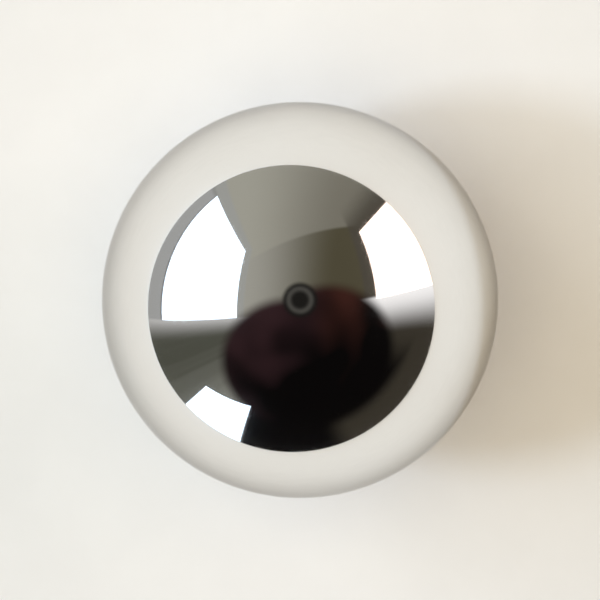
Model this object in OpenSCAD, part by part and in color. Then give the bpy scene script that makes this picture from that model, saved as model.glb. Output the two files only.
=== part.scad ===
// Steel ball: one solid piece of through-hardened chrome steel, ground and lapped
// to a true sphere with a mirror finish.
// Millimetres, +Z up, with the origin at the centre of the ball.

/* [Ball] */
// Diameter of the ball, half an inch as it stands
ball_d = 12.7; // [3:0.1:50]

/* [Hidden] */

// Steps that the preview draws round the ball
$fn = 180;

// Bright neutral grey of polished steel
steel_colour = [0.62, 0.62, 0.63];

// The surface is round and unbroken all over: it has no flat, hole, seam or pole.
module ball() {
    color(steel_colour)
        sphere(d = ball_d);
}

ball();
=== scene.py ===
"""A mirror-polished steel ball on a sheet of pale paper, lit by three windows and two lamps."""

import math

import bpy
from bpy.props import FloatProperty, FloatVectorProperty, IntProperty, PointerProperty
from bpy.types import Operator, Panel, PropertyGroup
from mathutils import Matrix, Vector


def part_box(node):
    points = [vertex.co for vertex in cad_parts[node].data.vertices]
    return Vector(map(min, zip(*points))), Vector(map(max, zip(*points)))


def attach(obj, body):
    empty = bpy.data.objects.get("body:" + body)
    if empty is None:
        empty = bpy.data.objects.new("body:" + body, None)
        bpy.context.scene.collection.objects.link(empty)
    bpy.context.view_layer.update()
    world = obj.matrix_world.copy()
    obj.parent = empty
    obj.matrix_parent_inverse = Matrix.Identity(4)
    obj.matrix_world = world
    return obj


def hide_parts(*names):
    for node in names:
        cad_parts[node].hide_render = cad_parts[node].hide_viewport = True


bl_info = {
    "name": "Steel ball",
    "version": (1, 0, 0),
    "blender": (4, 5, 0),
    "location": "3D View > Sidebar > Steel ball",
    "description": "A lapped steel ball, and a paper-covered table with window light",
    "category": "Add Mesh",
}

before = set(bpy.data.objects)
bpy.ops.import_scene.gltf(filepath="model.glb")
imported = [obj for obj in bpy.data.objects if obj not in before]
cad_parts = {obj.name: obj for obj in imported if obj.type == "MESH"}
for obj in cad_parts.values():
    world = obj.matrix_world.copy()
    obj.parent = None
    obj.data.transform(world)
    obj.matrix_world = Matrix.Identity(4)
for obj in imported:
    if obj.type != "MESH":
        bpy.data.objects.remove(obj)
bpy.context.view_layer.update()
LOW, HIGH = (Vector(corner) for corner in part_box("ball"))
CENTRE = (LOW + HIGH) / 2
FOOT = Vector((CENTRE.x, CENTRE.y, LOW.z))
DIAMETER = (HIGH - LOW).z

SLOT = "polished_steel"
MICRON = 1e-6
MM = 1e-3
GOLDEN_ANGLE = math.pi * (3 - math.sqrt(5))

# Directions in the room from the ball: x is right, y is back and z is up.
RIGHT, LEFT = Vector((1, 0, 0)), Vector((-1, 0, 0))
BACK, FRONT = Vector((0, 1, 0)), Vector((0, -1, 0))
UP = Vector((0, 0, 1))
FLAG_LEFT = Vector((0.03, -0.51, 0.86)).normalized()
FLAG_RIGHT = Vector((0.35, -0.40, 0.85)).normalized()
ALONG_CURTAIN = (0.45, -0.9, 0)
INTO_SHADE = (0.5, -0.9, 0)
SIDE_LAMP = Vector((-0.66, 0.0, 0.75)).normalized()

# Half widths of the edges between the room's tones, as slopes from the ball.
FADED = 0.25
BLURRED = 0.07
SOFT = 0.03
CRISP = 0.012

# Where noise between 0 and 1 starts to make a mark, and where the mark is full.
HAIRLINE = (0.62, 0.72)
HAIRLINE_RUN = (0.5, 0.62)
CLOUD = (0.35, 0.7)
MOTTLE = (0.3, 0.7)
FOLD = (0.3, 0.7)
WEAR = (0.2, 0.8)

# Where, on the way to the right, a tone of the unlit walls or the flag sets in, and is full.
SPILL_SETS_IN = (0, 0.5)
# The next one is for the painted glow of light on the unlit walls.
GLOW_SETS_IN = (0.2, 0.4)
RED_SETS_IN = (0.15, 0.5)

# Where the flag starts to blacken on the way into the shade, and is black.
SHADE_SETS_IN = (0.1, 0.9)

# Seeds of the soft noise, and the shift from one lap direction's hairlines to the next one's.
HAZE_SEED = 20.0
RIPPLE_SEED = 40.0
WEAR_SEED = 80.0
LAP_SHIFT = 1 * MM


class BallSizes(PropertyGroup):
    """The ball's own sizes."""

    diameter: FloatProperty(
        name="Diameter",
        description="Across the ball",
        default=DIAMETER,
        min=1 * MM,
        unit="LENGTH",
        subtype="DISTANCE",
    )
    cuts: IntProperty(
        name="Cuts",
        description="Cuts across each side of the cube that the ball is rounded from",
        default=2,
        min=1,
        max=4,
    )
    roundings: IntProperty(
        name="Roundings",
        description="How many times every face is split while the ball is rounded",
        default=5,
        min=2,
        max=5,
    )


class SteelFinish(PropertyGroup):
    """What lapping and polishing leave on the steel."""

    steel: FloatVectorProperty(
        name="Steel",
        description="Colour of the bare polish",
        default=(0.91, 0.91, 0.90),
        min=0,
        max=1,
        subtype="COLOR",
    )
    shade: FloatVectorProperty(
        name="Shade",
        description="Colour where the polish is a little tired",
        default=(0.885, 0.88, 0.865),
        min=0,
        max=1,
        subtype="COLOR",
    )
    # Partly real and partly painted shade: steel mirrors a little less of the glancing light, and
    # this dip is made deeper so that it darkens the outline.
    edge: FloatVectorProperty(
        name="Edge",
        description="How much of the glancing light the steel mirrors, near its outline",
        default=(0.50, 0.49, 0.48),
        min=0,
        max=1,
        subtype="COLOR",
    )
    roughness: FloatProperty(
        name="Roughness",
        description="Roughness of the clearest polish",
        default=0.025,
        min=0,
        max=1,
        subtype="FACTOR",
    )
    haze: FloatProperty(
        name="Haze",
        description="Roughness that the clouded patches add",
        default=0.02,
        min=0,
        max=1,
        subtype="FACTOR",
    )
    haze_size: FloatProperty(
        name="Haze size",
        description="Across one clouded patch",
        default=4 * MM,
        unit="LENGTH",
        subtype="DISTANCE",
    )
    film: FloatProperty(
        name="Film",
        description="How much of the steel its thin film of oil covers, in the clouded patches",
        default=0.5,
        min=0,
        max=1,
        subtype="FACTOR",
    )
    film_outside: FloatProperty(
        name="Film outside",
        description="The film outside the clouded patches, as a part of the film in them",
        default=0.5,
        min=0,
        max=1,
        subtype="FACTOR",
    )
    film_roughness: FloatProperty(
        name="Film roughness",
        description="Roughness of the film of oil",
        default=0.22,
        min=0,
        max=1,
        subtype="FACTOR",
    )
    lap_marks: IntProperty(
        name="Lap directions",
        description="How many ways the lapping plates have rolled the ball",
        default=6,
        min=1,
        max=12,
    )
    mark_spacing: FloatProperty(
        name="Mark spacing",
        description="About the distance from one hairline to the next",
        default=70 * MICRON,
        unit="LENGTH",
        subtype="DISTANCE",
    )
    mark_length: FloatProperty(
        name="Mark length",
        description="About how far a hairline runs before it fades",
        default=2 * MM,
        unit="LENGTH",
        subtype="DISTANCE",
    )
    mark_depth: FloatProperty(
        name="Mark depth",
        description="How deep a hairline is",
        default=0.012 * MICRON,
        unit="LENGTH",
        subtype="DISTANCE",
        precision=6,
    )
    mark_roughness: FloatProperty(
        name="Mark roughness",
        description="Roughness that a hairline adds",
        default=0.03,
        min=0,
        max=1,
        subtype="FACTOR",
    )
    ripple_height: FloatProperty(
        name="Ripple height",
        description="Height of the slow ripple that polishing leaves",
        default=0.5 * MICRON,
        unit="LENGTH",
        subtype="DISTANCE",
        precision=6,
    )
    ripple_size: FloatProperty(
        name="Ripple size",
        description="From one crest of the ripple to the next",
        default=1.5 * MM,
        unit="LENGTH",
        subtype="DISTANCE",
    )


class StudioSizes(PropertyGroup):
    """Where the camera is, in ball radii, and the sizes of the table, its paper and the room."""

    camera_right: FloatProperty(
        name="Camera right",
        description="How far the camera is to the right of the ball, in ball radii",
        default=2.1,
    )
    camera_back: FloatProperty(
        name="Camera back",
        description="How far the camera is behind the ball, in ball radii",
        default=2.1,
    )
    camera_height: FloatProperty(
        name="Camera height",
        description="How high the camera is above the ball's centre, in ball radii",
        default=17.0,
    )
    lens: FloatProperty(
        name="Lens",
        description="Focal length of the camera",
        default=205,
        unit="CAMERA",
    )
    table: FloatProperty(
        name="Table",
        description="Across the sheet of paper",
        default=3.0,
        unit="LENGTH",
        subtype="DISTANCE",
    )
    room: FloatProperty(
        name="Room",
        description="From the ball to each wall",
        default=2.5,
        unit="LENGTH",
        subtype="DISTANCE",
    )
    side_lamp: FloatProperty(
        name="Side lamp",
        description="Across the lamp on the left, which gives the shadow its edge",
        default=0.45,
        unit="LENGTH",
        subtype="DISTANCE",
    )
    mottle: FloatProperty(
        name="Mottle",
        description="How much darker the paper's mottles are",
        default=0.025,
        min=0,
        max=1,
        subtype="FACTOR",
    )
    mottle_size: FloatProperty(
        name="Mottle size",
        description="Across one mottle of the paper",
        default=3 * MM,
        unit="LENGTH",
        subtype="DISTANCE",
    )
    paper_roughness: FloatProperty(
        name="Paper roughness",
        description="Roughness of the paper",
        default=0.9,
        min=0,
        max=1,
        subtype="FACTOR",
    )


class RoomSizes(PropertyGroup):
    """Windows and walls as slopes, where 1 is as far as a wall is; flag and lens as angles."""

    large_window: FloatVectorProperty(
        name="Large window",
        description="Near side, far side, foot and head of the window in the left wall",
        default=(-0.14, 1.30, 0.20, 1.80),
        size=4,
    )
    far_window: FloatVectorProperty(
        name="Far window",
        description="Near side, far side, foot and head of the window in the right wall",
        default=(0.13, 1.15, 0.0, 0.80),
        size=4,
    )
    near_window: FloatVectorProperty(
        name="Near window",
        description="Left side, right side, foot and head of the window in the front wall",
        default=(-1.08, -0.42, 0.0, 0.60),
        size=4,
    )
    side_wall: FloatProperty(
        name="Side wall",
        description="How high the left wall reaches before it meets the ceiling",
        default=2.15,
    )
    back_wall: FloatProperty(
        name="Back wall",
        description="How high the back wall reaches before it meets the ceiling",
        default=1.15,
    )
    ceiling_fall: FloatProperty(
        name="Ceiling fall",
        description="How much lower the ceiling meets the back wall, for each step to the right",
        default=0.7,
    )
    shading: FloatProperty(
        name="Shading",
        description="How far the ceiling, back wall and curtain take to go from lit to dim",
        default=0.45,
    )
    spill: FloatProperty(
        name="Spill",
        description="How far a window's light reaches along the wall in front of it",
        default=0.33,
    )
    corner: FloatProperty(
        name="Corner",
        description="How far back the side walls reach before they meet the back wall",
        default=1.6,
    )
    lintel: FloatProperty(
        name="Lintel",
        description="Top of the dark lintel over the far window",
        default=1.02,
    )
    fold: FloatProperty(
        name="Fold",
        description="From one fold of the curtain to the next",
        default=0.09,
    )
    # Painted light and shade: a fold of the curtain is lit a little more or less than the rest.
    fold_shading: FloatProperty(
        name="Fold contrast",
        description="How much a fold of the curtain is lighter or darker than the rest",
        default=0.2,
    )
    sill: FloatProperty(
        name="Sill",
        description="Top of the pale sill under the large window",
        default=0.165,
    )
    flag: FloatProperty(
        name="Flag",
        description="Radius of each round end of the dark flag, as seen from the ball",
        default=math.radians(38),
        subtype="ANGLE",
    )
    wear: FloatProperty(
        name="Wear",
        description="How far the flag's cloth fades to black in its worn patches",
        default=0.7,
    )
    wear_size: FloatProperty(
        name="Wear size",
        description="Across one worn patch of the flag",
        default=0.3,
    )
    # Painted light: the top of the faint glow low on the unlit walls.
    glow: FloatProperty(
        name="Wall glow",
        description="Top of the dim dado along the unlit walls, as a part of the way up overhead",
        default=0.36,
    )
    lens_body: FloatProperty(
        name="Lens body",
        description="From the lens's middle to the rim of its body, as seen from the ball",
        default=math.radians(9.5),
        subtype="ANGLE",
    )
    lens_rim: FloatProperty(
        name="Lens rim",
        description="From the lens's middle to the outside of its bright rim",
        default=math.radians(7.2),
        subtype="ANGLE",
    )
    lens_glass: FloatProperty(
        name="Lens glass",
        description="From the lens's middle to the edge of its dark glass",
        default=math.radians(5.0),
        subtype="ANGLE",
    )


def room_colour(name, description, default):
    """A colour that the user can change."""
    return FloatVectorProperty(
        name=name,
        description=description,
        default=default,
        min=0,
        max=1,
        subtype="COLOR",
    )


class StudioLight(PropertyGroup):
    """Brightness and colours of the room and the table."""

    key: FloatProperty(
        name="Large window",
        description="Brightness of the large window, where 1 is white",
        default=1.9,
        min=0,
    )
    far: FloatProperty(
        name="Far window",
        description="Brightness of the far window, where 1 is white",
        default=2.2,
        min=0,
    )
    near: FloatProperty(
        name="Near window",
        description="Brightness of the near window, where 1 is white",
        default=2.4,
        min=0,
    )
    overhead: FloatProperty(
        name="Overhead",
        description="Brightness of the soft lamp over the table, which the ball doesn't mirror",
        default=2.0,
        min=0,
    )
    side: FloatProperty(
        name="Side",
        description="Brightness of the lamp on the left, which the ball doesn't mirror",
        default=26,
        min=0,
    )
    daylight: room_colour("Daylight", "Light from the left and the front", (0.68, 0.82, 1.0))
    sunlight: room_colour("Sunlight", "Light from the far window", (1.0, 0.80, 0.70))
    lamplight: room_colour("Lamplight", "Light from the lamp over the table", (1.0, 0.87, 0.63))
    ceiling_lit: room_colour("Ceiling, lit", "Ceiling beside the large window", (0.345, 0.335, 0.295))
    ceiling_dim: room_colour("Ceiling, dim", "Ceiling beside the far window", (0.080, 0.070, 0.043))
    back_lit: room_colour("Back wall, lit", "Back wall beside the large window", (0.36, 0.35, 0.30))
    back_dim: room_colour("Back wall, dim", "Back wall beside the far window", (0.19, 0.178, 0.145))
    side_wall: room_colour("Side wall", "Wall round the large window", (0.34, 0.34, 0.32))
    curtain_lit: room_colour("Curtain, lit", "Curtain beside the near window", (0.20, 0.20, 0.175))
    curtain_dim: room_colour("Curtain, dim", "Curtain beside the large window", (0.075, 0.076, 0.060))
    sill: room_colour("Sill", "Sill under the large window", (0.36, 0.36, 0.355))
    lintel: room_colour("Lintel", "Lintel, and frame under a window", (0.070, 0.062, 0.048))
    flag: room_colour("Flag", "Cloth of the flag in front of the ball", (0.030, 0.014, 0.016))
    flag_red: room_colour("Flag, red", "Cloth at the right end of the flag", (0.048, 0.016, 0.012))
    shade: room_colour("Shade", "Unlit part of the room behind the flag", (0.003, 0.0025, 0.0025))
    spill: room_colour("Spill", "Wall that a window lights at its edge", (0.98, 0.96, 0.96))
    # Painted light: the faint glow low on the unlit walls and on the wall by the far window.
    glow: room_colour("Wall glow", "Dado, and the unlit wall by the far window", (0.040, 0.034, 0.025))
    body: room_colour("Lens body", "Dark body of the lens", (0.012, 0.011, 0.010))
    rim: room_colour("Lens rim", "Bright rim of the lens", (0.075, 0.071, 0.064))
    backdrop: room_colour("Backdrop", "What the camera sees beyond the table", (0.88, 0.87, 0.85))
    paper: room_colour("Paper", "Sheet that the ball lies on", (0.90, 0.893, 0.88))


class Signal:
    """A number that varies over a surface: a node's output, with the sums a pattern needs."""

    def __init__(self, shader, socket):
        self.shader = shader
        self.socket = socket

    def _sum(self, operation, *terms):
        sockets = dict(enumerate(terms))
        node = self.shader.add("ShaderNodeMath", {"operation": operation}, sockets)
        return Signal(self.shader, node.outputs[0])

    def __add__(self, other):
        return self._sum("ADD", self, other)

    def __radd__(self, other):
        return self._sum("ADD", other, self)

    def __sub__(self, other):
        return self._sum("SUBTRACT", self, other)

    def __rsub__(self, other):
        return self._sum("SUBTRACT", other, self)

    def __mul__(self, other):
        return self._sum("MULTIPLY", self, other)

    def __rmul__(self, other):
        return self._sum("MULTIPLY", other, self)

    def over(self, other):
        """The larger of the two."""
        return self._sum("MAXIMUM", self, other)

    def rise(self, low, high):
        """Smoothly from 0 at low to 1 at high."""
        settings = {"interpolation_type": "SMOOTHSTEP"}
        sockets = {"Value": self, "From Min": low, "From Max": high}
        node = self.shader.add("ShaderNodeMapRange", settings, sockets)
        return Signal(self.shader, node.outputs["Result"])


class Shader:
    """Adds nodes to one tree, which it empties first."""

    def __init__(self, tree):
        self.tree = tree
        tree.nodes.clear()

    def add(self, kind, settings=None, sockets=None):
        """A node of this kind, with its settings, then the values or links of its sockets."""
        node = self.tree.nodes.new(kind)
        for name, value in (settings or {}).items():
            setattr(node, name, value)
        for name, value in (sockets or {}).items():
            self.feed(node.inputs[name], value)
        return node

    def feed(self, socket, value):
        """Links a signal or an output to the socket, or sets its value."""
        if isinstance(value, Signal):
            value = value.socket
        if isinstance(value, bpy.types.NodeSocket):
            self.tree.links.new(value, socket)
        elif socket.type == "RGBA":
            socket.default_value = (*value, 1)
        else:
            socket.default_value = value

    def signal(self, node, output):
        """A node's output as a signal."""
        return Signal(self, node.outputs[output])

    def dot(self, vector, axis):
        """How far the vector reaches along the axis."""
        settings = {"operation": "DOT_PRODUCT"}
        return self.signal(self.add("ShaderNodeVectorMath", settings, {0: vector, 1: axis}), "Value")

    def mix(self, factor, first, second):
        """A colour from the first to the second as the factor goes from 0 to 1."""
        sockets = {"Factor": factor, 6: first, 7: second}
        return self.add("ShaderNodeMix", {"data_type": "RGBA"}, sockets).outputs[2]

    def grain(self, vector, size, detail=2.0, seed=0.0):
        """Soft noise between 0 and 1, with features of about this size."""
        settings = {"noise_dimensions": "4D"}
        sockets = {"Vector": vector, "W": seed, "Scale": 1 / size, "Detail": detail}
        return self.signal(self.add("ShaderNodeTexNoise", settings, sockets), "Fac")

    def lines(self, along, spacing):
        """Noise along one direction only, so that it draws lines across it."""
        settings = {"noise_dimensions": "1D"}
        sockets = {"W": along, "Scale": 1 / spacing, "Detail": 1.0}
        return self.signal(self.add("ShaderNodeTexNoise", settings, sockets), "Fac")


def spread_axes(count):
    """Unit vectors spread evenly over the upper half of a sphere."""
    axes = []
    for step in range(count):
        height = (step + 0.5) / count
        out = math.sqrt(1 - height * height)
        turn = step * GOLDEN_ANGLE
        axes.append((out * math.cos(turn), out * math.sin(turn), height))
    return axes


def steel_material(finish):
    """Lapped steel: a clear mirror with the faintest hairlines, haze and ripple."""
    material = bpy.data.materials.new(SLOT)
    material.use_nodes = True
    shader = Shader(material.node_tree)
    place = shader.add("ShaderNodeTexCoord").outputs["Object"]

    marks = None
    for seed, axis in enumerate(spread_axes(finish.lap_marks)):
        line = shader.lines(shader.dot(place, axis) + seed * LAP_SHIFT, finish.mark_spacing)
        run = shader.grain(place, finish.mark_length, seed=seed)
        faded = line.rise(*HAIRLINE) * run.rise(*HAIRLINE_RUN)
        marks = faded if marks is None else marks.over(faded)

    haze = shader.grain(place, finish.haze_size, detail=5.0, seed=HAZE_SEED).rise(*CLOUD)
    ripple = shader.grain(place, finish.ripple_size, detail=0.0, seed=RIPPLE_SEED)
    height = ripple * finish.ripple_height - marks * finish.mark_depth
    bump = shader.add("ShaderNodeBump", None, {"Strength": 1.0, "Distance": 1.0, "Height": height})

    metal = shader.add(
        "ShaderNodeBsdfPrincipled",
        None,
        {
            "Base Color": shader.mix(haze, finish.steel, finish.shade),
            "Metallic": 1.0,
            # Partly real and partly painted shade: the edge tint darkens the outline more than
            # steel's own dip would.
            "Specular Tint": tuple(finish.edge),
            "Roughness": haze * finish.haze + marks * finish.mark_roughness + finish.roughness,
            "Coat Weight": (haze * (1 - finish.film_outside) + finish.film_outside) * finish.film,
            "Coat Roughness": finish.film_roughness,
            "Normal": bump.outputs["Normal"],
        },
    )
    shader.add("ShaderNodeOutputMaterial", None, {"Surface": metal.outputs["BSDF"]})
    return material


def paper_material(studio, light):
    """Matt white paper with a faint mottle."""
    material = bpy.data.materials.new("pale_paper")
    material.use_nodes = True
    shader = Shader(material.node_tree)
    place = shader.add("ShaderNodeTexCoord").outputs["Object"]
    mottle = shader.grain(place, studio.mottle_size, detail=4.0).rise(*MOTTLE)
    shaded = tuple(part * (1 - studio.mottle) for part in light.paper)
    matt = shader.add(
        "ShaderNodeBsdfPrincipled",
        None,
        {
            "Base Color": shader.mix(mottle, light.paper, shaded),
            "Roughness": studio.paper_roughness,
        },
    )
    shader.add("ShaderNodeOutputMaterial", None, {"Surface": matt.outputs["BSDF"]})
    return material


class RoomTones:
    """What the ball mirrors above the table: a tone in each direction, laid on part by part."""

    def __init__(self, shader, sizes, light):
        self.shader = shader
        self.sizes = sizes
        self.light = light
        self.way = shader.add("ShaderNodeTexCoord").outputs["Generated"]
        self.right, self.left = self.toward(RIGHT), self.toward(LEFT)
        self.back, self.front = self.toward(BACK), self.toward(FRONT)
        self.up = self.toward(UP)
        self.tone = None

    def toward(self, axis):
        """How far each direction reaches along the axis."""
        return self.shader.dot(self.way, axis)

    def within(self, axis, angle, edge):
        """1 inside the cone of this half angle about the axis, with a rim of this half width."""
        inner, outer = math.cos(max(angle - edge, 0)), math.cos(angle + edge)
        return self.toward(axis).rise(outer, inner)

    def lay(self, mask, tone):
        """Lays a tone over the room where the mask is 1."""
        self.tone = self.shader.mix(mask, self.tone, tone)

    def ceiling_and_back_wall(self):
        """Both darken from the left to the right."""
        sizes, light, mix = self.sizes, self.light, self.shader.mix
        across = self.right.rise(-sizes.shading, sizes.shading)
        ceiling = mix(across, light.ceiling_lit, light.ceiling_dim)
        back_wall = mix(across, light.back_lit, light.back_dim)
        above = self.up + self.right * sizes.ceiling_fall - self.back * sizes.back_wall
        self.tone = mix(above.rise(-SOFT, SOFT), back_wall, ceiling)

    def right_wall(self):
        """The dark lintel and frame of the far window, which fade into the back wall."""
        beside = (self.right * self.sizes.corner - self.back).rise(-FADED, FADED)
        under_top = (self.right * self.sizes.lintel - self.up).rise(-SOFT, SOFT)
        self.lay(under_top * beside, self.light.lintel)

    def left_wall(self):
        """The wall round the large window, and the frame and the sill under it."""
        sizes, light, left = self.sizes, self.light, self.left
        far_side, foot = sizes.large_window[1:3]
        beside = (left * sizes.corner - self.back).rise(-SOFT, SOFT)
        under_ceiling = (left * sizes.side_wall - self.up).rise(-SOFT, SOFT)
        self.lay(under_ceiling * beside, light.side_wall)
        beside_window = (left * far_side - self.back).rise(-SOFT, 2 * SOFT) * left.rise(0, SOFT)
        self.lay((left * foot - self.up).rise(-CRISP, CRISP) * beside_window, light.lintel)
        self.lay((left * sizes.sill - self.up).rise(-SOFT, 0) * beside_window, light.sill)

    def curtain(self):
        """The folded curtain from the large window to the near one, with painted light and shade: lit
        towards the near window, lighter and darker on its folds, and pale where light spills.
        """
        sizes, light, mix = self.sizes, self.light, self.shader.mix
        near_side = sizes.large_window[0]
        beside = self.left * near_side - self.back
        along = self.toward(ALONG_CURTAIN)
        # Painted light and shade on the curtain's folds, added to how lit the curtain is.
        folds = self.shader.lines(along, sizes.fold).rise(*FOLD)
        lit = along.rise(0, sizes.shading) + (folds - 0.5) * sizes.fold_shading
        spill = 1 - beside.rise(-sizes.spill / 2, sizes.spill / 2)
        curtain = mix(spill, mix(lit, light.curtain_dim, light.curtain_lit), light.spill)
        self.lay(beside.rise(-CRISP, CRISP) * self.left.rise(0, SOFT), curtain)

    def unlit_walls(self):
        """The walls between the far and the near window: dark, but for a painted glow of light low on
        them and by the far window, and some spill.
        """
        sizes, light, mix = self.sizes, self.light, self.shader.mix
        beside_far = self.front + self.right * sizes.far_window[0]
        beside_near = self.right - self.front * sizes.near_window[1]
        # Painted light: a faint glow low on the unlit walls, and on the wall by the far window.
        low = 1 - self.up.rise(sizes.glow / 2, sizes.glow)
        dim = low.over(1 - beside_far.rise(sizes.spill, 2 * sizes.spill))
        dark = mix(dim * self.right.rise(*GLOW_SETS_IN), light.shade, light.glow)
        spill = 1 - beside_far.rise(0, sizes.spill)
        dark = mix(spill * self.right.rise(*SPILL_SETS_IN), dark, light.spill)
        self.lay(beside_far.rise(-SOFT, 0) * beside_near.rise(-SOFT, SOFT), dark)

    def flag(self):
        """A dark cloth with two round ends, worn in places, and black towards the unlit walls."""
        sizes, light, mix = self.sizes, self.light, self.shader.mix
        patches = self.shader.grain(self.way, sizes.wear_size, detail=0.0, seed=WEAR_SEED)
        worn = patches.rise(*WEAR) * sizes.wear
        in_shade = self.toward(INTO_SHADE).rise(*SHADE_SETS_IN)
        cloth = mix(self.right.rise(*RED_SETS_IN), light.flag, light.flag_red)
        cloth = mix(in_shade + worn, cloth, light.shade)
        left_end = self.within(FLAG_LEFT, sizes.flag, BLURRED)
        right_end = self.within(FLAG_RIGHT, sizes.flag, BLURRED)
        self.lay(left_end.over(right_end), cloth)

    def lens(self, to_camera):
        """The dark body, bright rim and dark glass of a lens in front of the flag."""
        sizes, light = self.sizes, self.light
        self.lay(self.within(to_camera, sizes.lens_body, SOFT), light.body)
        rim = self.within(to_camera, sizes.lens_rim, SOFT)
        glass = self.within(to_camera, sizes.lens_glass, SOFT)
        self.lay(rim - glass, light.rim)


def room_world(light, sizes, to_camera):
    """The room above the table, as the ball mirrors it, with a plain backdrop for the camera."""
    world = bpy.data.worlds.new("room")
    bpy.context.scene.world = world
    world.use_nodes = True
    shader = Shader(world.node_tree)

    room = RoomTones(shader, sizes, light)
    room.ceiling_and_back_wall()
    room.right_wall()
    room.left_wall()
    room.curtain()
    room.unlit_walls()
    room.flag()
    room.lens(to_camera)

    seen = shader.signal(shader.add("ShaderNodeLightPath"), "Is Camera Ray")
    shown = shader.mix(seen, room.tone, light.backdrop)
    background = shader.add("ShaderNodeBackground", None, {"Color": shown, "Strength": 1.0})
    shader.add("ShaderNodeOutputWorld", None, {"Surface": background.outputs["Background"]})


def shape_lamp(lamp, width, height, colour, brightness):
    """A rectangle that looks this bright, where 1 is white."""
    lamp.shape = "RECTANGLE"
    lamp.size = width
    lamp.size_y = height
    lamp.color = colour
    lamp.energy = brightness * math.pi * width * height


def add_lamp(name, toward, distance, size, colour, brightness):
    """A square lamp that lights the table from that direction, and isn't mirrored."""
    bpy.ops.object.light_add(type="AREA", location=FOOT + toward * distance)
    lamp = bpy.context.object
    lamp.name = name
    lamp.rotation_euler = toward.to_track_quat("Z", "Y").to_euler()
    lamp.visible_glossy = False
    shape_lamp(lamp.data, size, size, colour, brightness)


def add_window(name, wall, edges, room, colour, brightness):
    """A rectangular lamp in the wall that lies that way; its edges are slopes from the ball."""
    first, last, foot, head = (slope * room for slope in edges)
    along = Vector((abs(wall.y), abs(wall.x), 0))
    middle = along * (first + last) / 2 + UP * (foot + head) / 2
    bpy.ops.object.light_add(type="AREA", location=FOOT + wall * room + middle)
    lamp = bpy.context.object
    lamp.name = name
    lamp.rotation_euler = wall.to_track_quat("Z", "Y").to_euler()
    shape_lamp(lamp.data, last - first, head - foot, colour, brightness)


def add_table(studio, light):
    """The sheet of paper under the ball."""
    bpy.ops.mesh.primitive_plane_add(size=studio.table, location=FOOT)
    table = bpy.context.object
    table.name = "paper_sheet"
    table.data.materials.append(paper_material(studio, light))


def add_camera(studio):
    """The camera above the ball, with the back of the table at the top of its view."""
    radius = DIAMETER / 2
    offset = Vector((studio.camera_right, studio.camera_back, studio.camera_height)) * radius
    away = offset.normalized()
    side = BACK.cross(away).normalized()
    turn = Matrix((side, away.cross(side), away)).transposed()
    bpy.ops.object.camera_add(location=CENTRE + offset, rotation=turn.to_euler())
    camera = bpy.context.object
    camera.name = "camera"
    camera.data.lens = studio.lens
    camera.data.clip_start = radius
    bpy.context.scene.camera = camera
    return away


def lap_ball(sizes):
    """A cube cut into even faces, rounded, and lapped down to the true sphere."""
    bpy.ops.object.select_all(action="DESELECT")
    bpy.ops.mesh.primitive_cube_add(size=sizes.diameter, location=CENTRE)
    ball = bpy.context.object
    bpy.ops.object.mode_set(mode="EDIT")
    bpy.ops.mesh.select_all(action="SELECT")
    bpy.ops.mesh.subdivide(number_cuts=sizes.cuts)
    bpy.ops.transform.tosphere(value=1)
    bpy.ops.object.mode_set(mode="OBJECT")

    bpy.ops.object.modifier_add(type="SUBSURF")
    rounding = ball.modifiers[-1]
    rounding.levels = rounding.render_levels = sizes.roundings
    bpy.ops.object.modifier_apply(modifier=rounding.name)

    bpy.ops.object.modifier_add(type="CAST")
    lapping = ball.modifiers[-1]
    lapping.cast_type = "SPHERE"
    lapping.factor = 1
    bpy.ops.object.modifier_apply(modifier=lapping.name)

    ground = max(vertex.co.length for vertex in ball.data.vertices)
    scale = sizes.diameter / 2 / ground
    bpy.ops.object.mode_set(mode="EDIT")
    bpy.ops.mesh.select_all(action="SELECT")
    bpy.ops.transform.resize(value=(scale, scale, scale), center_override=CENTRE)
    bpy.ops.object.mode_set(mode="OBJECT")
    bpy.ops.object.transform_apply(location=True, rotation=True, scale=True)
    bpy.ops.object.shade_smooth()
    return ball


class STEEL_OT_ball(Operator):
    """Adds the lapped steel ball in place of its plain solid"""

    bl_idname = "steel.ball"
    bl_label = "Add ball"

    def execute(self, context):
        ball = lap_ball(context.scene.ball_sizes)
        ball.name = "lapped_ball"
        ball.data.materials.append(steel_material(context.scene.steel_finish))
        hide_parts("ball")
        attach(ball, "root")
        return {"FINISHED"}


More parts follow.
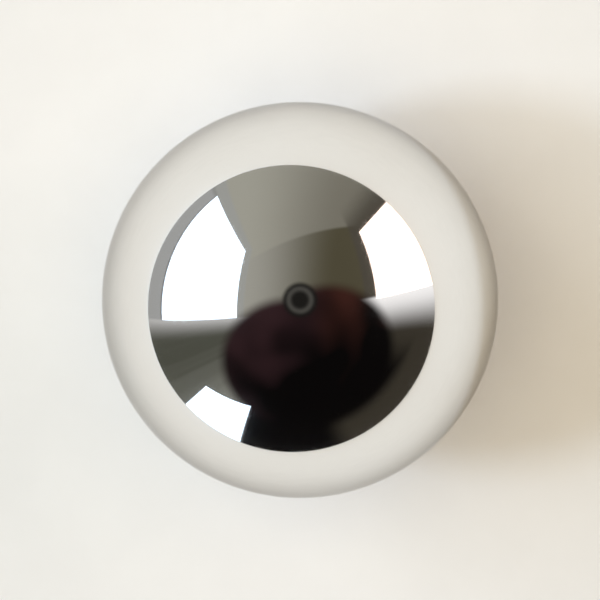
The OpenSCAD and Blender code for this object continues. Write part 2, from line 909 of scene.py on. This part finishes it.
class STEEL_OT_studio(Operator):
    """Adds the table, the windows, the lamps, the room and the camera"""

    bl_idname = "steel.studio"
    bl_label = "Add studio"

    def execute(self, context):
        scene = context.scene
        studio, room, light = scene.studio_sizes, scene.room_sizes, scene.studio_light
        bpy.ops.object.select_all(action="DESELECT")
        add_table(studio, light)
        to_camera = add_camera(studio)
        room_world(light, room, to_camera)
        for name, wall, colour, brightness in (
            ("large_window", LEFT, light.daylight, light.key),
            ("far_window", RIGHT, light.sunlight, light.far),
            ("near_window", FRONT, light.daylight, light.near),
        ):
            add_window(name, wall, getattr(room, name), studio.room, colour, brightness)
        add_lamp("overhead", UP, studio.room, studio.room, light.lamplight, light.overhead)
        add_lamp("side", SIDE_LAMP, studio.room, studio.side_lamp, light.daylight, light.side)
        scene.view_settings.view_transform = "Standard"
        return {"FINISHED"}


class STEEL_PT_sidebar(Panel):
    """Lists the ball's and the studio's settings and their buttons"""

    bl_label = "Steel ball"
    bl_idname = "STEEL_PT_sidebar"
    bl_space_type = "VIEW_3D"
    bl_region_type = "UI"
    bl_category = "Steel ball"

    def draw(self, context):
        layout = self.layout
        for group, operator in (
            (("ball_sizes", "steel_finish"), STEEL_OT_ball),
            (("studio_sizes", "room_sizes", "studio_light"), STEEL_OT_studio),
        ):
            for name in group:
                settings = getattr(context.scene, name)
                for prop in settings.bl_rna.properties:
                    if prop.identifier not in ("rna_type", "name"):
                        layout.prop(settings, prop.identifier)
            layout.operator(operator.bl_idname)


GROUPS = {
    "ball_sizes": BallSizes,
    "steel_finish": SteelFinish,
    "studio_sizes": StudioSizes,
    "room_sizes": RoomSizes,
    "studio_light": StudioLight,
}
CLASSES = (*GROUPS.values(), STEEL_OT_ball, STEEL_OT_studio, STEEL_PT_sidebar)


def register():
    for cls in CLASSES:
        bpy.utils.register_class(cls)
    for name, group in GROUPS.items():
        setattr(bpy.types.Scene, name, PointerProperty(type=group))


def unregister():
    for name in GROUPS:
        delattr(bpy.types.Scene, name)
    for cls in reversed(CLASSES):
        bpy.utils.unregister_class(cls)


def main():
    register()
    bpy.ops.steel.ball()
    bpy.ops.steel.studio()


if __name__ == "__main__":
    main()
